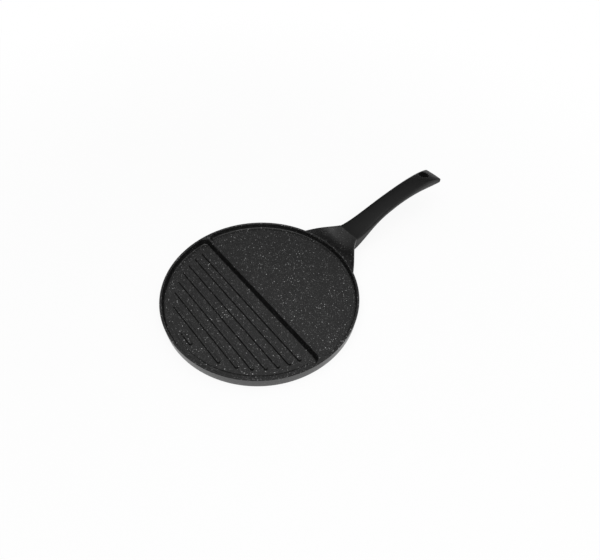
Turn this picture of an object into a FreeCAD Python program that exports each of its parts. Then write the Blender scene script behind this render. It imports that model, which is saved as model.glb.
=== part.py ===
"""Divided griddle pan: a round die-cast body, half ribbed grill and half flat plate, with one fixed handle.

Millimetres. The origin is the middle of the base, +X points along the handle and +Z up. The grill half
lies on the -X side of the dividing ridge and the flat half on the handle's side.
"""
import FreeCAD, Part
import Sketcher
import math
import os

# Driving dimensions, one sheet cell each
SIZES = {
    # casting
    "rim_radius": 140.0,
    "body_height": 18.5,
    "side_taper": 0.8,
    "rim_bevel": 0.7,
    "foot_lift": 0.5,
    "foot_width": 7.5,
    "lower_edge_round": 1.8,
    "relief_width": 27.7,
    "relief_height": 4.5,
    "relief_bevel": 3.0,
    "ring_pitch": 30.0,
    "ring_width": 1.4,
    "ring_depth": 0.5,
    # recesses of the two halves
    "rim_width": 3.2,
    "divider_place": 3.0,
    "divider_width": 3.4,
    "divider_draft": 2.0,
    "mouth_corner": 9.0,
    "mouth_bevel": 0.5,
    "flat_depth": 8.0,
    "flat_draft": 1.2,
    "flat_floor_round": 1.6,
    "grill_depth": 10.0,
    "grill_draft": 1.0,
    "grill_floor_round": 1.6,
    # raised plateau and ribs of the grill half
    "gutter_width": 7.4,
    "gutter_divider_width": 8.2,
    "plateau_height": 1.3,
    "plateau_corner": 4.5,
    "rib_first": 8.8,
    "rib_pitch": 13.85,
    "rib_width": 5.2,
    "rib_height": 2.3,
    "rib_inset": 7.1,
    # flared bracket, cast with the body
    "bracket_overlap": 14.0,
    "bracket_side_inset": 1.3,
    "bracket_length": 27.5,
    "bracket_lift": 4.0,
    "bracket_depth": 21.6,
    "bracket_dish": 7.6,
    "bracket_edge_round": 1.7,
    "bracket_lower_round": 4.4,
    # moulded handle
    "handle_step": 17.0,
    "handle_length": 194.5,
    "handle_rise": 29.2,
    "handle_width": 38.6,
    "handle_depth": 25.6,
    "eye_radius": 8.2,
    "eye_inset": 23.5,
    "eye_wall": 3.1,
    # tongue, screw and washer that hold the handle
    "tongue_root": 5.0,
    "tongue_length": 28.0,
    "tongue_width": 22.0,
    "tongue_height": 9.0,
    "tongue_cover": 3.4,
    "tongue_corner": 2.0,
    "tongue_clearance": 0.25,
    "screw_place": 16.0,
    "screw_radius": 2.5,
    "screw_reach": 7.0,
    "screw_clearance": 0.15,
    "head_radius": 4.6,
    "head_height": 2.8,
    "head_bevel": 1.0,
    "recess_length": 5.0,
    "recess_width": 1.1,
    "recess_depth": 1.5,
    "seat_web": 2.5,
    "washer_thickness": 1.2,
    "washer_width": 1.9,
    "bore_clearance": 0.4,
    "cut_overrun": 12.0,
}

RIB_DRAFT_ANGLE = 24.0
WASHER_TURN_ANGLE = 344.0

# A rounded edge drawn as two flats: places outwards and up, as shares of its radius
CORNER_SHARES = ((0.0, 1.0), (0.707, 0.707), (1.0, 0.0))

# Bracket sections from the body to the handle. Shares: place along the bracket, narrowing from the root's
# half-width to the handle's, height of the ridges from the rim to the handle's top, dish between the
# ridges, lift of the underside, and rounding of the lower edges
BRACKET_SHARES = (
    (0.00, 0.00, -0.08, 1.60, 0.00, 0.75),
    (0.30, 0.31, 0.36, 1.00, 0.30, 0.86),
    (0.55, 0.61, 0.73, 0.48, 0.55, 0.97),
    (0.79, 0.86, 0.94, 0.36, 0.79, 1.08),
    (1.00, 1.00, 1.00, 0.06, 1.00, 1.18),
)

# Handle sections from the bracket to the end. Shares: place along the length, rise, width, depth, and then
# crown, upper rounding and lower rounding as shares of that section's depth
HANDLE_SHARES = (
    (0.000, 0.000, 1.000, 1.00, 0.03, 0.07, 0.12),
    (0.095, 0.099, 0.950, 0.86, 0.05, 0.14, 0.24),
    (0.220, 0.361, 0.850, 0.65, 0.07, 0.22, 0.36),
    (0.410, 0.731, 0.762, 0.57, 0.08, 0.26, 0.38),
    (0.640, 0.960, 0.767, 0.56, 0.08, 0.26, 0.38),
    (0.860, 0.985, 0.800, 0.64, 0.06, 0.22, 0.33),
    (1.000, 0.735, 0.850, 0.34, 0.04, 0.20, 0.30),
)


class Size:
    """A length worked out from the sheet: its value, and the expression that keeps a feature bound to it."""

    def __init__(self, value, text):
        self.value = value
        self.text = text

    def __add__(self, other):
        return Size(self.value + other.value, "(%s + %s)" % (self.text, other.text))

    def __sub__(self, other):
        return Size(self.value - other.value, "(%s - %s)" % (self.text, other.text))

    def __mul__(self, share):
        return Size(self.value * share, "(%s * %.6f)" % (self.text, share))

    def __neg__(self):
        return Size(-self.value, "(0 - %s)" % self.text)

    def leg(self, other):
        """The other leg of a right triangle that has this hypotenuse."""
        value = math.sqrt(self.value ** 2 - other.value ** 2)
        return Size(value, "sqrt(%s * %s - %s * %s)" % (self.text, self.text, other.text, other.text))

    def arc_radius(self, rise):
        """Radius of the arc that stands this far up over a half chord of this length."""
        value = (self.value ** 2 + rise.value ** 2) / (2 * rise.value)
        text = "((%s * %s + %s * %s) / (2 * %s))" % (self.text, self.text, rise.text, rise.text, rise.text)
        return Size(value, text)


ZERO = Size(0.0, "0")


class Dimensions:
    """The sheet's cells, each as a Size under its alias, and the places that several pieces share."""

    def derive(self):
        self.rim = self.body_height
        self.handle_start = self.rim_radius + self.bracket_length
        self.handle_top = self.rim + self.handle_step
        self.tongue_bottom = self.handle_top - self.tongue_cover - self.tongue_height
        self.seat_level = self.tongue_bottom - self.tongue_clearance - self.seat_web
        self.screw_x = self.handle_start + self.screw_place


def make_sheet(doc):
    sheet = doc.addObject("Spreadsheet::Sheet", "sizes")
    dims = Dimensions()
    for row, (alias, value) in enumerate(SIZES.items(), start=1):
        sheet.set("A%d" % row, alias)
        sheet.set("B%d" % row, str(value))
        sheet.setAlias("B%d" % row, alias)
        setattr(dims, alias, Size(value, "sizes." + alias))
    doc.recompute()
    dims.derive()
    return dims


def make_body(doc, label):
    body = doc.addObject("PartDesign::Body", label)
    body.Label = label
    return body


def make_sketch(body, name, role, level=None):
    """A sketch on one of the body's own origin planes, moved along the plane's normal to a level."""
    sketch = body.newObject("Sketcher::SketchObject", name)
    plane = [feature for feature in body.Origin.OriginFeatures if feature.Role == role][0]
    sketch.AttachmentSupport = [(plane, "")]
    sketch.MapMode = "FlatFace"
    if level is not None:
        sketch.AttachmentOffset = FreeCAD.Placement(FreeCAD.Vector(0, 0, level.value), FreeCAD.Rotation())
        sketch.setExpression("AttachmentOffset.Base.z", level.text)
    return sketch


def drive(sketch, kind, references, size):
    """A dimension of the sketch bound to a size."""
    index = sketch.addConstraint(Sketcher.Constraint(kind, *references, size.value))
    sketch.setExpression("Constraints[%d]" % index, size.text)


def pin_along(sketch, kind, geometry, point, size):
    """Holds a point's coordinate: the distance from the sketch's origin, taken in its positive sense."""
    origin = (-1, 1)
    if size.value >= 0:
        drive(sketch, kind, origin + (geometry, point), size)
    else:
        drive(sketch, kind, (geometry, point) + origin, -size)


def pin(sketch, geometry, point, x, y):
    pin_along(sketch, "DistanceX", geometry, point, x)
    pin_along(sketch, "DistanceY", geometry, point, y)


def join_tangent(sketch, chain):
    """Makes each curve of a closed chain run smoothly into the next."""
    for first, second in zip(chain, chain[1:] + chain[:1]):
        sketch.addConstraint(Sketcher.Constraint("Tangent", first, 2, second, 1))


def line(sketch, start, end):
    return sketch.addGeometry(Part.LineSegment(FreeCAD.Vector(*start, 0), FreeCAD.Vector(*end, 0)), False)


def arc(sketch, centre, radius, start_angle, end_angle):
    circle = Part.Circle(FreeCAD.Vector(*centre, 0), FreeCAD.Vector(0, 0, 1), radius)
    return sketch.addGeometry(Part.ArcOfCircle(circle, start_angle, end_angle), False)


def chain_lines(sketch, points):
    """Lines from point to point, given as pairs of sizes, with every point pinned."""
    values = [(x.value, y.value) for x, y in points]
    sides = [line(sketch, start, end) for start, end in zip(values, values[1:])]
    for side, following in zip(sides, sides[1:]):
        sketch.addConstraint(Sketcher.Constraint("Coincident", side, 2, following, 1))
    for side, (x, y) in zip(sides, points):
        pin(sketch, side, 1, x, y)
    return sides


def polygon(sketch, points):
    """A closed outline through points given as pairs of sizes."""
    sides = chain_lines(sketch, points + points[:1])
    sketch.addConstraint(Sketcher.Constraint("Coincident", sides[-1], 2, sides[0], 1))


def disc(sketch, x, y, radius):
    circle = Part.Circle(FreeCAD.Vector(x.value, y.value, 0), FreeCAD.Vector(0, 0, 1), radius.value)
    geometry = sketch.addGeometry(circle, False)
    pin(sketch, geometry, 3, x, y)
    drive(sketch, "Radius", (geometry,), radius)


def slot(sketch, x, reach, half_width):
    """A slot along Y with round ends: reach is from its middle to the centre of an end."""
    right, left = x.value + half_width.value, x.value - half_width.value
    far = arc(sketch, (x.value, reach.value), half_width.value, 0, math.pi)
    left_side = line(sketch, (left, reach.value), (left, -reach.value))
    near = arc(sketch, (x.value, -reach.value), half_width.value, math.pi, 2 * math.pi)
    right_side = line(sketch, (right, -reach.value), (right, reach.value))
    join_tangent(sketch, [far, left_side, near, right_side])
    pin(sketch, far, 3, x, reach)
    pin(sketch, near, 3, x, -reach)
    drive(sketch, "Radius", (far,), half_width)
    sketch.addConstraint(Sketcher.Constraint("Equal", far, near))


def half_disc(sketch, radius, edge, corner, sense):
    """Half of a round pan: an arc about the middle and a straight edge across, with rounded corners.

    sense is 1 for the half on the +X side of the edge and -1 for the other.
    """
    corner_x = edge.value + sense * corner.value
    corner_y = math.sqrt((radius.value - corner.value) ** 2 - corner_x ** 2)
    bearing = math.atan2(corner_y, corner_x)
    upper, lower = (corner_x, corner_y), (corner_x, -corner_y)
    top, bottom = (edge.value, corner_y), (edge.value, -corner_y)
    if sense > 0:
        outer = arc(sketch, (0, 0), radius.value, -bearing, bearing)
        first = arc(sketch, upper, corner.value, bearing, math.pi)
        straight = line(sketch, top, bottom)
        second = arc(sketch, lower, corner.value, math.pi, 2 * math.pi - bearing)
    else:
        outer = arc(sketch, (0, 0), radius.value, bearing, 2 * math.pi - bearing)
        first = arc(sketch, lower, corner.value, -bearing, 0)
        straight = line(sketch, bottom, top)
        second = arc(sketch, upper, corner.value, 0, bearing)
    join_tangent(sketch, [outer, first, straight, second])
    sketch.addConstraint(Sketcher.Constraint("Coincident", outer, 3, -1, 1))
    sketch.addConstraint(Sketcher.Constraint("Vertical", straight))
    drive(sketch, "Radius", (outer,), radius)
    drive(sketch, "Radius", (first,), corner)
    sketch.addConstraint(Sketcher.Constraint("Equal", first, second))
    pin_along(sketch, "DistanceX", straight, 1, edge)


def moulded_section(sketch, half_width, edge, middle, bottom, upper_round, lower_round):
    """An upright section, alike on both sides, with rounded edges and an arc across the top.

    The arc's ends lie at the level edge and its middle at the level middle: higher makes a crown and lower
    a dish.
    """
    half_chord = half_width - upper_round
    inner = half_width - lower_round
    shoulder, hip = edge - upper_round, bottom + lower_round
    right = [(half_chord + upper_round * out, shoulder + upper_round * up) for out, up in CORNER_SHARES]
    right += [(inner + lower_round * up, hip - lower_round * out) for out, up in CORNER_SHARES]
    left = [(-y, z) for y, z in reversed(right)]
    sides = chain_lines(sketch, right + left)
    pin(sketch, sides[-1], 2, *left[-1])

    crowned = middle.value > edge.value
    bend = half_chord.arc_radius(middle - edge if crowned else edge - middle)
    centre = middle - bend if crowned else middle + bend
    lean = math.atan2(edge.value - centre.value, half_chord.value)
    ends = (lean, math.pi - lean) if crowned else (math.pi - lean, 2 * math.pi + lean)
    top = arc(sketch, (0, centre.value), bend.value, *ends)
    start, end = (1, 2) if crowned else (2, 1)
    sketch.addConstraint(Sketcher.Constraint("Coincident", top, start, sides[0], 1))
    sketch.addConstraint(Sketcher.Constraint("Coincident", top, end, sides[-1], 2))
    pin_along(sketch, "DistanceY", top, 3, centre)


def plain_section(sketch, half_width, bottom, height, corner):
    """An upright rounded rectangle, centred on the handle's middle plane."""
    top = bottom + height
    right, inner = half_width.value, half_width.value - corner.value
    low, high = bottom.value + corner.value, top.value - corner.value
    upper = line(sketch, (inner, top.value), (-inner, top.value))
    left_upper = arc(sketch, (-inner, high), corner.value, math.pi / 2, math.pi)
    left = line(sketch, (-right, high), (-right, low))
    left_lower = arc(sketch, (-inner, low), corner.value, math.pi, 3 * math.pi / 2)
    base = line(sketch, (-inner, bottom.value), (inner, bottom.value))
    right_lower = arc(sketch, (inner, low), corner.value, -math.pi / 2, 0)
    side = line(sketch, (right, low), (right, high))
    right_upper = arc(sketch, (inner, high), corner.value, 0, math.pi / 2)
    join_tangent(sketch, [upper, left_upper, left, left_lower, base, right_lower, side, right_upper])
    for upright in (left, side):
        sketch.addConstraint(Sketcher.Constraint("Vertical", upright))
    for level in (upper, base):
        sketch.addConstraint(Sketcher.Constraint("Horizontal", level))
    for corner_arc in (left_upper, left_lower, right_lower):
        sketch.addConstraint(Sketcher.Constraint("Equal", corner_arc, right_upper))
    drive(sketch, "Radius", (right_upper,), corner)
    pin_along(sketch, "DistanceY", upper, 1, top)
    pin_along(sketch, "DistanceY", base, 1, bottom)
    pin_along(sketch, "DistanceX", left, 1, -half_width)
    pin_along(sketch, "DistanceX", side, 1, half_width)


def revolve(body, kind, name, sketch, angle=360.0):
    feature = body.newObject("PartDesign::" + kind, name)
    feature.Profile = sketch
    feature.ReferenceAxis = (sketch, ["V_Axis"])
    feature.Angle = angle


def extrude(body, kind, name, sketch, length, reverse=False, taper=0.0):
    feature = body.newObject("PartDesign::" + kind, name)
    feature.Profile = sketch
    feature.Length = length.value
    feature.setExpression("Length", length.text)
    feature.Reversed = reverse
    feature.TaperAngle = taper


def loft(body, kind, name, sketches, ruled=False):
    feature = body.newObject("PartDesign::" + kind, name)
    feature.Profile = sketches[0]
    feature.Sections = sketches[1:]
    feature.Ruled = ruled


def make_disc(body, d):
    """The turned disc: flat base with its turned rings, a relief round it, and the skirt up to the rim."""
    foot = d.rim_radius - d.side_taper
    base_radius = foot - d.foot_width - d.relief_width
    profile = make_sketch(body, "DiscProfile", "XZ_Plane")
    outline = [
        (ZERO, ZERO),
        (base_radius, ZERO),
        (base_radius + d.relief_bevel, d.relief_height),
        (foot - d.foot_width - d.relief_bevel, d.relief_height),
        (foot - d.foot_width, d.foot_lift),
    ]
    edge = d.lower_edge_round
    outline += [(foot - edge + edge * out, d.foot_lift + edge - edge * up) for out, up in CORNER_SHARES]
    outline += [
        (d.rim_radius, d.rim - d.rim_bevel),
        (d.rim_radius - d.rim_bevel, d.rim),
        (ZERO, d.rim),
    ]
    polygon(profile, outline)
    revolve(body, "Revolution", "Disc", profile)

    rings = make_sketch(body, "RingProfiles", "XZ_Plane")
    half = d.ring_width * 0.5
    middle = d.ring_pitch
    while (middle + d.ring_pitch * 0.5).value < base_radius.value:
        polygon(rings, [(middle - half, ZERO), (middle + half, ZERO), (middle, d.ring_depth)])
        middle = middle + d.ring_pitch
    revolve(body, "Groove", "TurnedRings", rings)


def make_bracket(body, d):
    """The flared bracket with its two ridges, and the tongue that the handle slides over."""
    root = d.rim_radius - d.bracket_overlap
    root_half = (d.rim_radius - d.bracket_side_inset).leg(root)
    narrowed = root_half - d.handle_width * 0.5
    raised = d.handle_top - d.bracket_depth - d.bracket_lift
    sections = []
    for number, (place, narrowing, height, dish, lift, rounding) in enumerate(BRACKET_SHARES, start=1):
        level = root + (d.handle_start - root) * place
        section = make_sketch(body, "BracketSection%d" % number, "YZ_Plane", level)
        half_width = root_half - narrowed * narrowing
        edge = d.rim + d.handle_step * height
        bottom = d.bracket_lift + raised * lift
        moulded_section(section, half_width, edge, edge - d.bracket_dish * dish, bottom,
                        d.bracket_edge_round, d.bracket_lower_round * rounding)
        sections.append(section)
    loft(body, "AdditiveLoft", "Bracket", sections)

    tongue = make_sketch(body, "TongueSection", "YZ_Plane", d.handle_start - d.tongue_root)
    plain_section(tongue, d.tongue_width * 0.5, d.tongue_bottom, d.tongue_height, d.tongue_corner)
    extrude(body, "Pad", "Tongue", tongue, d.tongue_root + d.tongue_length)

    tapping = make_sketch(body, "ScrewHoleCircle", "XY_Plane", d.tongue_bottom)
    disc(tapping, d.screw_x, ZERO, d.screw_radius + d.screw_clearance)
    extrude(body, "Pocket", "ScrewHole", tapping, d.screw_reach + d.screw_clearance, reverse=True)


def make_recess(body, d, name, edge, sense, depth, draft, floor_round):
    """One half's hollow: a bevelled mouth, a drafted wall and a floor with a hollow round at its foot."""
    steps = [(-d.mouth_bevel, -d.mouth_bevel, d.rim), (ZERO, ZERO, d.rim - d.mouth_bevel)]
    for out, up in CORNER_SHARES:
        foot = floor_round * (1 - up)
        steps.append((draft + foot, d.divider_draft + foot, d.rim - depth + floor_round * (1 - out)))
    sections = []
    for number, (inset, divider_inset, level) in enumerate(steps, start=1):
        section = make_sketch(body, "%sOutline%d" % (name, number), "XY_Plane", level)
        radius = d.rim_radius - d.rim_width - inset
        half_disc(section, radius, edge + divider_inset * sense, d.mouth_corner - inset, sense)
        sections.append(section)
    loft(body, "SubtractiveLoft", name + "Recess", sections, ruled=True)


def make_grill(body, d, edge):
    """The grill half's raised plateau, with a gutter left round it, and the row of ribs that stand on it."""
    plateau_radius = d.rim_radius - d.rim_width - d.grill_draft - d.gutter_width
    plateau_edge = edge - d.divider_draft - d.gutter_divider_width
    floor = d.rim - d.grill_depth
    plateau = make_sketch(body, "PlateauOutline", "XY_Plane", floor)
    half_disc(plateau, plateau_radius, plateau_edge, d.plateau_corner, -1)
    extrude(body, "Pad", "Plateau", plateau, d.plateau_height)

    ribs = make_sketch(body, "RibOutlines", "XY_Plane", floor + d.plateau_height)
    half_rib = d.rib_width * 0.5
    reach = plateau_radius - d.rib_inset
    place = plateau_edge - d.rib_first
    while -place.value < reach.leg(d.rib_width).value:
        tip = reach.leg(place) - half_rib
        slot(ribs, place, tip, half_rib)
        place = place - d.rib_pitch
    extrude(body, "Pad", "Ribs", ribs, d.rib_height, taper=-RIB_DRAFT_ANGLE)


def make_pan(doc, d):
    """The casting: disc, flared bracket with its tongue, the two recesses, and the grill's ribs."""
    body = make_body(doc, "pan_body")
    make_disc(body, d)
    make_bracket(body, d)
    half_divider = d.divider_width * 0.5
    flat_edge = half_divider - d.divider_place
    grill_edge = -half_divider - d.divider_place
    make_recess(body, d, "Flat", flat_edge, 1, d.flat_depth, d.flat_draft, d.flat_floor_round)
    make_recess(body, d, "Grill", grill_edge, -1, d.grill_depth, d.grill_draft, d.grill_floor_round)
    make_grill(body, d, grill_edge)
    return body


def make_handle(doc, d):
    """The moulded handle: lofted grip with a socket for the tongue, a screw seat below and a hanging eye."""
    body = make_body(doc, "handle")
    sections = []
    for number, (place, rise, width, depth, crown, upper, lower) in enumerate(HANDLE_SHARES, start=1):
        level = d.handle_start + d.handle_length * place
        section = make_sketch(body, "GripSection%d" % number, "YZ_Plane", level)
        half_width = d.handle_width * (width * 0.5)
        middle = d.handle_top + d.handle_rise * rise
        thick = d.handle_depth * depth
        moulded_section(section, half_width, middle - thick * crown, middle, middle - thick,
                        thick * upper, thick * lower)
        sections.append(section)
    loft(body, "AdditiveLoft", "Grip", sections)

    gap = d.tongue_clearance
    socket = make_sketch(body, "SocketSection", "YZ_Plane", d.handle_start)
    plain_section(socket, d.tongue_width * 0.5 + gap, d.tongue_bottom - gap, d.tongue_height + gap * 2,
                  d.tongue_corner)
    extrude(body, "Pocket", "Socket", socket, d.tongue_length + gap, reverse=True)

    seat = make_sketch(body, "SeatCircle", "XY_Plane", d.seat_level)
    disc(seat, d.screw_x, ZERO, d.head_radius + d.bore_clearance)
    extrude(body, "Pocket", "ScrewSeat", seat, d.cut_overrun)

    passage = make_sketch(body, "PassageCircle", "XY_Plane", d.seat_level)
    disc(passage, d.screw_x, ZERO, d.screw_radius + d.bore_clearance)
    extrude(body, "Pocket", "ScrewPassage", passage, d.seat_web + gap, reverse=True)

    end_half_width = d.handle_width * (HANDLE_SHARES[-2][2] * 0.5)
    eye = make_sketch(body, "EyeCircle", "XY_Plane", d.handle_top + d.handle_rise + d.cut_overrun)
    disc(eye, d.handle_start + d.handle_length - d.eye_inset, end_half_width - d.eye_wall - d.eye_radius,
         d.eye_radius)
    extrude(body, "Pocket", "HangingEye", eye, d.handle_rise + d.handle_depth + d.cut_overrun)
    return body


def make_screw(doc, d):
    """The screw that holds the handle, driven upwards from below, with a cross recess in its head."""
    body = make_body(doc, "handle_screw")
    washer_bottom = d.seat_level - d.washer_thickness
    head_bottom = washer_bottom - d.head_height
    tip = d.tongue_bottom + d.screw_reach

    profile = make_sketch(body, "ScrewProfile", "XZ_Plane")
    polygon(profile, [
        (ZERO, head_bottom),
        (d.head_radius - d.head_bevel, head_bottom),
        (d.head_radius, head_bottom + d.head_bevel),
        (d.head_radius, washer_bottom),
        (d.screw_radius, washer_bottom),
        (d.screw_radius, tip),
        (ZERO, tip),
    ])
    revolve(body, "Revolution", "Screw", profile)

    half = d.recess_length * 0.5
    arm = d.recess_width * 0.5
    cross = make_sketch(body, "CrossRecess", "XY_Plane", head_bottom)
    polygon(cross, [
        (half, -arm), (half, arm), (arm, arm), (arm, half), (-arm, half), (-arm, arm),
        (-half, arm), (-half, -arm), (-arm, -arm), (-arm, -half), (arm, -half), (arm, -arm),
    ])
    extrude(body, "Pocket", "DriverRecess", cross, d.recess_depth, reverse=True)
    body.setExpression("Placement.Base.x", d.screw_x.text)
    return body


def make_washer(doc, d):
    """The split spring washer under the screw's head."""
    body = make_body(doc, "spring_washer")
    inner = d.screw_radius + d.screw_clearance
    outer = inner + d.washer_width
    bottom = d.seat_level - d.washer_thickness
    profile = make_sketch(body, "WasherProfile", "XZ_Plane")
    polygon(profile, [(inner, bottom), (outer, bottom), (outer, d.seat_level), (inner, d.seat_level)])
    revolve(body, "Revolution", "Washer", profile, WASHER_TURN_ANGLE)
    body.setExpression("Placement.Base.x", d.screw_x.text)
    return body


def check(doc, bodies):
    """Stops with the names of anything that failed to build."""
    faults = [item.Name for item in doc.Objects if "Invalid" in item.State or "Error" in item.State]
    faults += [body.Label for body in bodies if body.Shape.isNull() or not body.Shape.isValid()]
    if faults:
        raise RuntimeError("not built: " + ", ".join(faults))


def main():
    doc = FreeCAD.newDocument("divided_griddle_pan")
    dims = make_sheet(doc)
    bodies = [make(doc, dims) for make in (make_pan, make_handle, make_screw, make_washer)]
    doc.recompute()
    check(doc, bodies)
    os.makedirs("parts", exist_ok=True)
    for body in bodies:
        body.Shape.exportStep("parts/%s.step" % body.Label)
        print(body.Label, "solids", len(body.Shape.Solids), "volume %.0f" % body.Shape.Volume)


main()
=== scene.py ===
"""Divided griddle pan: finishes, floor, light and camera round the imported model.

Lengths are in metres in the model's frame, or in millimetres where a name ends in MM.
Angles are in degrees.
"""
import bpy
import math
from mathutils import Matrix, Vector

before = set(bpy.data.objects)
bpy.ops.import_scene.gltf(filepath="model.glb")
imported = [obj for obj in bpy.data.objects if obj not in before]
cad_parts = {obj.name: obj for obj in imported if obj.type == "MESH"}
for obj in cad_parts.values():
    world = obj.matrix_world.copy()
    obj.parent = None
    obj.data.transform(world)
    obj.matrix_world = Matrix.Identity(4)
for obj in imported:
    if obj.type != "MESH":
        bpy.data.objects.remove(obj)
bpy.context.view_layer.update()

# Camera: where it looks, from where, and its lens
LOOK_AT = (0.05623, -0.01913, 0.01893)
HEADING_ANGLE = 42.12
ELEVATION_ANGLE = 50.38
ROLL_ANGLE = 3.59
CAMERA_DISTANCE = 0.657
LENS_MM = 27.24
SENSOR_MM = 36.0
CLIP_START = 0.01

# Floor: its paint, and the share of plain white that the camera sees near the object and far from it
FLOOR_SIZE = 60.0
FLOOR_LEVEL = -0.0001
FLOOR_TINT = 0.96
FLOOR_GLOW_REACH = (0.25, 1.10)
FLOOR_GLOW_SHARES = (0.88, 1.0)

# Sky: strength low down and overhead, and the sines of elevation where it rises and where the backdrop ends
SKY_TINT = 0.8
SKY_STRENGTHS = (0.06, 0.98)
SKY_FADE_SINES = (0.52, 0.86)
BACKDROP_TOP_SINES = (0.12, 0.28)
WHITE = 1.0

# Lamps: place, side and watts
KEY_LAMP = ((-0.62, -0.74, 1.75), 2.4, 27.0)
SIDE_LAMP = ((1.33, -0.91, 0.80), 1.0, 4.7)

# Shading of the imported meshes: crease angles, the levels that hold the rim's bevels, and the moulding's rounds
WELD_DISTANCE = 1e-6
CASTING_CREASE_ANGLE = 50.0
FASTENER_CREASE_ANGLE = 35.0
RIM_LEVELS = (0.0176, 0.0186)
MOULDING_VOXEL = 0.0006
MOULDING_ROUNDING = 9
MOULDING_ROUNDING_FACTOR = 0.5

# Coating: greys, gloss, the mottle that varies both, and the fine orange peel
COATING_TINTS = (0.002, 0.006)
COATING_ROUGHNESS = (0.27, 0.35)
COATING_SPECULAR = 0.45
MOTTLE_MM = 1.6
MOTTLE_DETAIL = 4.0
PEEL_MM = 0.9
SPECK_HEIGHT = 0.25
COATING_BUMP_STRENGTH = 0.35
COATING_BUMP_DEPTH = 0.00006

# Paint specks in the coating: where they crowd, how ragged they are, and fewer on walls and past the rim
CLOUD_MM = 22.0
CLOUD_SPAN = (0.35, 0.65)
CROWD_SHARES = (0.75, 1.0)
RAGGED_MM = 0.8
RAGGED_REACH_MM = 0.9
SPECK_CORE = 0.6
SPECK_TINT = 0.50
UPWARD_SPAN = (0.2, 0.9)
WALL_SPECK_SHARE = 0.3
RIM_EDGE_MM = (139.5, 142.0)
BRACKET_SPECK_SHARE = 0.35
SPECK_LAYERS = (
    # cell and smallest and largest radius in millimetres, then the tint's share in the faintest and brightest
    (1.1, (0.18, 0.38), (0.04, 0.25)),
    (1.8, (0.30, 0.54), (0.06, 0.40)),
    (3.2, (0.38, 0.76), (0.15, 1.00)),
)

# Machined part of the base: everything lower than this is bare metal with turned rings
BASE_LEVEL_MM = 0.35
BARE_METAL_TINTS = (0.50, 0.72)
TURNED_RINGS_PER_MM = 2.2
TURNED_DETAIL = 3.0

# Handle: greys, gloss and spark-eroded grain
HANDLE_TINTS = (0.002, 0.007)
HANDLE_ROUGHNESS = (0.36, 0.48)
HANDLE_SPECULAR = 0.24
HANDLE_CLOUD_MM = 14.0
GRAIN_MM = 0.45
GRAIN_DETAIL = 3.0
HANDLE_BUMP_STRENGTH = 0.4
HANDLE_BUMP_DEPTH = 0.00005

# Hanging eye, darkened with painted shade and given a rougher finish: its middle, and how far out its wall and
# its mouth reach
EYE_SHADE_TINT = 0.001
EYE_MIDDLE_MM = (338.5, 4.1, 0.0)
EYE_REACH_MM = (8.4, 9.4)

# Fasteners: greys, gloss and turning marks
PLATED_TINTS = (0.45, 0.62)
SPRING_TINTS = (0.22, 0.34)
STEEL_ROUGHNESS = (0.22, 0.38)
STEEL_MARK_MM = 0.35
STEEL_MARK_DETAIL = 4.0
STEEL_BUMP_STRENGTH = 0.2
STEEL_BUMP_DEPTH = 0.00002

# Spans and vectors used in several places; most values of a noise lie within its span
RISING = (0.0, 1.0)
FALLING = (1.0, 0.0)
NOISE_SPAN = (0.3, 0.7)
NOISE_DETAIL = 2.0
NOISE_MIDDLE = (0.5, 0.5, 0.5)
LEVEL_AXES = (1.0, 1.0, 0.0)
MM_PER_METRE = 1000.0

# Places of the sockets of Blender's Mix node
MIX_SHARE = 0
MIX_NUMBERS = (2, 3)
MIX_NUMBER_RESULT = 0
MIX_COLOURS = (6, 7)
MIX_COLOUR_RESULT = 2


def grey(level):
    return (level, level, level, 1.0)


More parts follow.
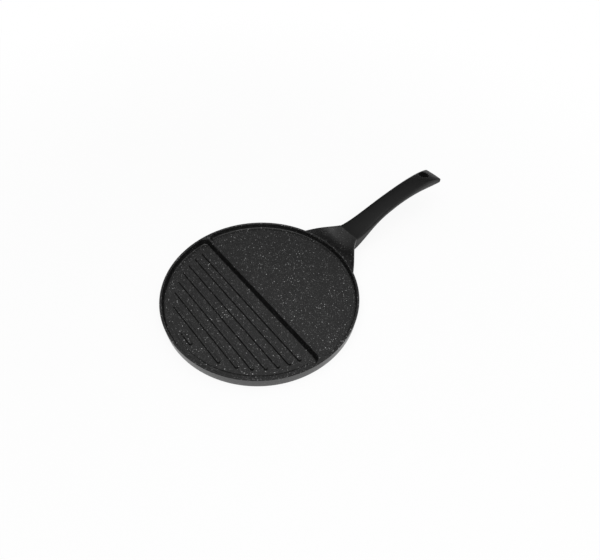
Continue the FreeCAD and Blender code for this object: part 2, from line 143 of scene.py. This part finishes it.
class Nodes:
    """A node tree, built one node at a time."""

    def __init__(self, tree):
        self.tree = tree
        tree.nodes.clear()

    def add(self, kind, inputs, **settings):
        """Adds a node with its inputs linked or set, and gives its outputs."""
        node = self.tree.nodes.new(kind)
        for name, value in settings.items():
            setattr(node, name, value)
        for name, value in inputs.items():
            if isinstance(value, bpy.types.NodeSocket):
                self.tree.links.new(value, node.inputs[name])
            else:
                node.inputs[name].default_value = value
        return node.outputs

    def math(self, operation, first, second=0.0):
        return self.add("ShaderNodeMath", {0: first, 1: second}, operation=operation)[0]

    def vector(self, operation, first, second):
        return self.add("ShaderNodeVectorMath", {0: first, 1: second}, operation=operation)[0]

    def scaled(self, vector, scale):
        return self.add("ShaderNodeVectorMath", {0: vector, "Scale": scale}, operation="SCALE")[0]

    def axes(self, vector):
        return self.add("ShaderNodeSeparateXYZ", {"Vector": vector})

    def millimetres(self):
        """The place in the model's frame, in millimetres."""
        return self.scaled(self.add("ShaderNodeTexCoord", {})["Object"], MM_PER_METRE)

    def remap(self, value, span, results):
        """The value over its span, spread smoothly over the span of results."""
        inputs = {
            "Value": value,
            "From Min": span[0],
            "From Max": span[1],
            "To Min": results[0],
            "To Max": results[1],
        }
        return self.add("ShaderNodeMapRange", inputs, interpolation_type="SMOOTHSTEP")[0]

    def noise(self, place, size, detail=NOISE_DETAIL):
        """Noise between 0 and 1 whose lumps are about this many millimetres wide."""
        return self.add("ShaderNodeTexNoise", {"Vector": place, "Scale": 1.0 / size, "Detail": detail})

    def mix(self, share, first, second):
        """The colour that lies this share of the way from the first to the second."""
        inputs = {MIX_SHARE: share, MIX_COLOURS[0]: first, MIX_COLOURS[1]: second}
        return self.add("ShaderNodeMix", inputs, data_type="RGBA")[MIX_COLOUR_RESULT]

    def mix_numbers(self, share, first, second):
        inputs = {MIX_SHARE: share, MIX_NUMBERS[0]: first, MIX_NUMBERS[1]: second}
        return self.add("ShaderNodeMix", inputs)[MIX_NUMBER_RESULT]

    def shade(self, share, tints):
        """The grey that lies this share of the way from the darker to the lighter tint."""
        return self.mix(share, grey(tints[0]), grey(tints[1]))

    def bump(self, height, strength, depth):
        return self.add("ShaderNodeBump", {"Height": height, "Strength": strength, "Distance": depth})[0]

    def surface(self, inputs):
        """Closes a material's tree with the surface shader."""
        shader = self.add("ShaderNodeBsdfPrincipled", inputs)[0]
        self.add("ShaderNodeOutputMaterial", {"Surface": shader})

    def compare(self, first, second, operation="GREATER_THAN"):
        return self.add("FunctionNodeCompare", {0: first, 1: second}, operation=operation)[0]

    def logic(self, operation, first, second):
        return self.add("FunctionNodeBooleanMath", {0: first, 1: second}, operation=operation)[0]


def new_material(name):
    material = bpy.data.materials.new(name)
    material.use_nodes = True
    return material, Nodes(material.node_tree)


def specks(tree, place, cell, share, radii):
    """Paint specks scattered through space, one in each cell at most: their mask and a random brightness."""
    cells = tree.add("ShaderNodeTexVoronoi", {"Vector": place, "Scale": 1.0 / cell})
    distance = tree.math("MULTIPLY", cells["Distance"], cell)
    chance = tree.add("ShaderNodeTexWhiteNoise", {"Vector": cells["Color"]}, noise_dimensions="3D")
    chance = tree.add("ShaderNodeSeparateColor", {"Color": chance["Color"]})
    present = tree.math("LESS_THAN", chance["Red"], share)
    radius = tree.math("MULTIPLY", tree.remap(chance["Green"], RISING, radii), present)
    core = tree.math("MULTIPLY", radius, SPECK_CORE)
    return tree.remap(distance, (core, radius), FALLING), chance["Blue"]


def coating_material():
    """Matt black non-stick coating with pale specks, and the bare turned metal of the base."""
    material, tree = new_material("speckled_coating")
    place = tree.millimetres()
    axes = tree.axes(place)
    square = tree.math("ADD", tree.math("MULTIPLY", axes["X"], axes["X"]),
                       tree.math("MULTIPLY", axes["Y"], axes["Y"]))
    across = tree.math("SQRT", square)
    facing = tree.add("ShaderNodeTexCoord", {})["Normal"]
    upward = tree.math("ABSOLUTE", tree.axes(facing)["Z"])

    warp = tree.vector("SUBTRACT", tree.noise(place, RAGGED_MM)["Color"], NOISE_MIDDLE)
    ragged = tree.vector("ADD", place, tree.scaled(warp, RAGGED_REACH_MM))
    crowd = tree.remap(tree.noise(place, CLOUD_MM)["Fac"], CLOUD_SPAN, CROWD_SHARES)
    mottle = tree.noise(place, MOTTLE_MM, MOTTLE_DETAIL)["Fac"]
    colour = tree.shade(mottle, COATING_TINTS)
    cover = tree.remap(upward, UPWARD_SPAN, (WALL_SPECK_SHARE, 1.0))
    cover = tree.math("MULTIPLY", cover, tree.remap(across, RIM_EDGE_MM, (1.0, BRACKET_SPECK_SHARE)))
    raised = 0.0
    for cell, radii, shares in SPECK_LAYERS:
        mask, tone = specks(tree, ragged, cell, crowd, radii)
        strength = tree.math("MULTIPLY", mask, tree.remap(tone, RISING, shares))
        strength = tree.math("MULTIPLY", strength, cover)
        colour = tree.mix(strength, colour, grey(SPECK_TINT))
        raised = tree.math("MAXIMUM", mask, raised)

    bare = tree.math("LESS_THAN", axes["Z"], BASE_LEVEL_MM)
    turning = {"W": across, "Scale": TURNED_RINGS_PER_MM, "Detail": TURNED_DETAIL}
    rings = tree.add("ShaderNodeTexNoise", turning, noise_dimensions="1D")["Fac"]
    peel = tree.noise(place, PEEL_MM)["Fac"]
    height = tree.math("ADD", peel, tree.math("MULTIPLY", raised, SPECK_HEIGHT))
    height = tree.mix_numbers(bare, height, rings)
    tree.surface({
        "Base Color": tree.mix(bare, colour, tree.shade(rings, BARE_METAL_TINTS)),
        "Metallic": bare,
        "Roughness": tree.remap(mottle, NOISE_SPAN, COATING_ROUGHNESS),
        "Specular IOR Level": COATING_SPECULAR,
        "Normal": tree.bump(height, COATING_BUMP_STRENGTH, COATING_BUMP_DEPTH),
    })
    return material


def handle_material():
    """Matt black moulding with a fine spark-eroded grain; the hanging eye gets painted shade and a rougher
    finish.
    """
    material, tree = new_material("handle_moulding")
    place = tree.millimetres()
    cloud = tree.noise(place, HANDLE_CLOUD_MM, GRAIN_DETAIL)["Fac"]
    grain = tree.noise(place, GRAIN_MM, GRAIN_DETAIL)["Fac"]
    level = tree.vector("MULTIPLY", place, LEVEL_AXES)
    away = tree.add("ShaderNodeVectorMath", {0: level, 1: EYE_MIDDLE_MM}, operation="DISTANCE")["Value"]
    # Painted shade: the hanging eye's wall and mouth are darkened in colour and also made rougher
    eye_shade_and_matt = tree.remap(away, EYE_REACH_MM, FALLING)
    colour = tree.shade(tree.math("MULTIPLY", cloud, grain), HANDLE_TINTS)
    roughness = tree.remap(grain, NOISE_SPAN, HANDLE_ROUGHNESS)
    tree.surface({
        "Base Color": tree.mix(eye_shade_and_matt, colour, grey(EYE_SHADE_TINT)),
        "Roughness": tree.math("MAXIMUM", roughness, eye_shade_and_matt),
        "Specular IOR Level": HANDLE_SPECULAR,
        "Normal": tree.bump(grain, HANDLE_BUMP_STRENGTH, HANDLE_BUMP_DEPTH),
    })
    return material


def steel_material(name, tints):
    """Bright steel with fine turning marks."""
    material, tree = new_material(name)
    marks = tree.noise(tree.millimetres(), STEEL_MARK_MM, STEEL_MARK_DETAIL)["Fac"]
    tree.surface({
        "Base Color": tree.shade(marks, tints),
        "Metallic": 1.0,
        "Roughness": tree.remap(marks, NOISE_SPAN, STEEL_ROUGHNESS),
        "Normal": tree.bump(marks, STEEL_BUMP_STRENGTH, STEEL_BUMP_DEPTH),
    })
    return material


def floor_material():
    """White floor that the camera and reflections see as plain white, but for the object's shadow."""
    material, tree = new_material("floor_white")
    path = tree.add("ShaderNodeLightPath", {})
    seen = tree.math("MAXIMUM", path["Is Camera Ray"], path["Is Glossy Ray"])
    seen = tree.math("MAXIMUM", seen, path["Is Transmission Ray"])
    place = tree.add("ShaderNodeTexCoord", {})["Object"]
    away = tree.add("ShaderNodeVectorMath", {0: place}, operation="LENGTH")["Value"]
    share = tree.math("MULTIPLY", seen, tree.remap(away, FLOOR_GLOW_REACH, FLOOR_GLOW_SHARES))
    paint = tree.add("ShaderNodeBsdfDiffuse", {"Color": grey(FLOOR_TINT)})[0]
    glow = tree.add("ShaderNodeEmission", {"Color": grey(WHITE), "Strength": 1.0})[0]
    both = tree.add("ShaderNodeMixShader", {0: share, 1: paint, 2: glow})[0]
    tree.add("ShaderNodeOutputMaterial", {"Surface": both})
    return material


def smooth(node, angle, crisp_levels=None):
    """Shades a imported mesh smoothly, with creases where its faces meet at more than this angle.

    Between two crisp levels, edges at more than half that angle are creases as well.
    """
    group = bpy.data.node_groups.new("smooth_" + node.name, "GeometryNodeTree")
    for way in ("INPUT", "OUTPUT"):
        group.interface.new_socket("Geometry", in_out=way, socket_type="NodeSocketGeometry")
    tree = Nodes(group)
    mesh = tree.add("NodeGroupInput", {})[0]
    mesh = tree.add("GeometryNodeMergeByDistance", {"Geometry": mesh, "Distance": WELD_DISTANCE})[0]
    mesh = tree.add("GeometryNodeSetShadeSmooth", {"Geometry": mesh})[0]
    corner = tree.add("GeometryNodeInputMeshEdgeAngle", {})[0]
    sharp = tree.compare(corner, math.radians(angle))
    if crisp_levels:
        level = tree.axes(tree.add("GeometryNodeInputPosition", {})[0])["Z"]
        over = tree.compare(level, crisp_levels[0])
        under = tree.compare(level, crisp_levels[1], "LESS_THAN")
        bent = tree.compare(corner, math.radians(angle / 2))
        crisp = tree.logic("AND", tree.logic("AND", over, under), bent)
        sharp = tree.logic("OR", sharp, crisp)
    creases = {"Geometry": mesh, "Selection": sharp, "Shade Smooth": False}
    mesh = tree.add("GeometryNodeSetShadeSmooth", creases, domain="EDGE")[0]
    tree.add("NodeGroupOutput", {0: mesh})
    node.modifiers.new("smooth", "NODES").node_group = group
    weighted = node.modifiers.new("weighted", "WEIGHTED_NORMAL")
    weighted.keep_sharp = True


def soften(node):
    """Takes the edge off a moulding: every corner gets a small round, as a mould leaves it."""
    remesh = node.modifiers.new("even_mesh", "REMESH")
    remesh.mode = "VOXEL"
    remesh.voxel_size = MOULDING_VOXEL
    remesh.use_smooth_shade = True
    rounding = node.modifiers.new("round_edges", "SMOOTH")
    rounding.factor = MOULDING_ROUNDING_FACTOR
    rounding.iterations = MOULDING_ROUNDING


def dress(name, material):
    """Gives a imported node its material."""
    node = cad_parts[name]
    node.data.materials.clear()
    node.data.materials.append(material)
    return node


def add_floor():
    half = FLOOR_SIZE / 2
    corners = [(-half, -half, 0), (half, -half, 0), (half, half, 0), (-half, half, 0)]
    mesh = bpy.data.meshes.new("floor")
    mesh.from_pydata(corners, [], [(0, 1, 2, 3)])
    mesh.materials.append(floor_material())
    floor = bpy.data.objects.new("floor", mesh)
    floor.location.z = FLOOR_LEVEL
    bpy.context.scene.collection.objects.link(floor)


def add_sky():
    """A dim studio under a wide soft light, brightest overhead and fading out towards the horizon.

    Straight in view it is a plain white backdrop. Gloss mirrors that backdrop low down,
    and the studio above it.
    """
    world = bpy.data.worlds.new("studio")
    bpy.context.scene.world = world
    world.use_nodes = True
    tree = Nodes(world.node_tree)
    sine = tree.axes(tree.add("ShaderNodeTexCoord", {})["Generated"])["Z"]
    path = tree.add("ShaderNodeLightPath", {})
    low = tree.remap(sine, BACKDROP_TOP_SINES, FALLING)
    mirrored = tree.math("MULTIPLY", low, path["Is Glossy Ray"])
    direct = tree.math("MAXIMUM", path["Is Camera Ray"], path["Is Transmission Ray"])
    seen = tree.math("MAXIMUM", direct, mirrored)
    strength = tree.remap(sine, SKY_FADE_SINES, SKY_STRENGTHS)
    light = tree.add("ShaderNodeBackground", {"Color": grey(SKY_TINT), "Strength": strength})[0]
    backdrop = tree.add("ShaderNodeBackground", {"Color": grey(WHITE), "Strength": 1.0})[0]
    both = tree.add("ShaderNodeMixShader", {0: seen, 1: light, 2: backdrop})[0]
    tree.add("ShaderNodeOutputWorld", {"Surface": both})


def add_lamp(name, place, side, watts):
    """A large soft lamp that faces the object."""
    lamp = bpy.data.lights.new(name, "AREA")
    lamp.size = side
    lamp.energy = watts
    holder = bpy.data.objects.new(name, lamp)
    holder.location = place
    aim = Vector(LOOK_AT) - Vector(place)
    holder.rotation_euler = aim.to_track_quat("-Z", "Y").to_euler()
    bpy.context.scene.collection.objects.link(holder)


def add_camera():
    """The camera at the photograph's viewing angle."""
    turn = Matrix.Rotation(-math.radians(HEADING_ANGLE), 4, "Z")
    turn = turn @ Matrix.Rotation(math.radians(90.0 - ELEVATION_ANGLE), 4, "X")
    turn = turn @ Matrix.Rotation(math.radians(ROLL_ANGLE), 4, "Z")
    lens = bpy.data.cameras.new("camera")
    lens.sensor_width = SENSOR_MM
    lens.lens = LENS_MM
    lens.clip_start = CLIP_START
    camera = bpy.data.objects.new("camera", lens)
    back = turn @ Vector((0.0, 0.0, CAMERA_DISTANCE))
    camera.matrix_world = Matrix.Translation(Vector(LOOK_AT) + back) @ turn
    bpy.context.scene.collection.objects.link(camera)
    bpy.context.scene.camera = camera


def main():
    bpy.context.scene.view_settings.view_transform = "Standard"
    smooth(dress("pan_body", coating_material()), CASTING_CREASE_ANGLE, RIM_LEVELS)
    soften(dress("handle", handle_material()))
    smooth(dress("handle_screw", steel_material("plated_steel", PLATED_TINTS)), FASTENER_CREASE_ANGLE)
    smooth(dress("spring_washer", steel_material("spring_steel", SPRING_TINTS)), FASTENER_CREASE_ANGLE)
    add_floor()
    add_sky()
    add_lamp("key_lamp", *KEY_LAMP)
    add_lamp("side_lamp", *SIDE_LAMP)
    add_camera()


main()
bpy.context.view_layer.update()
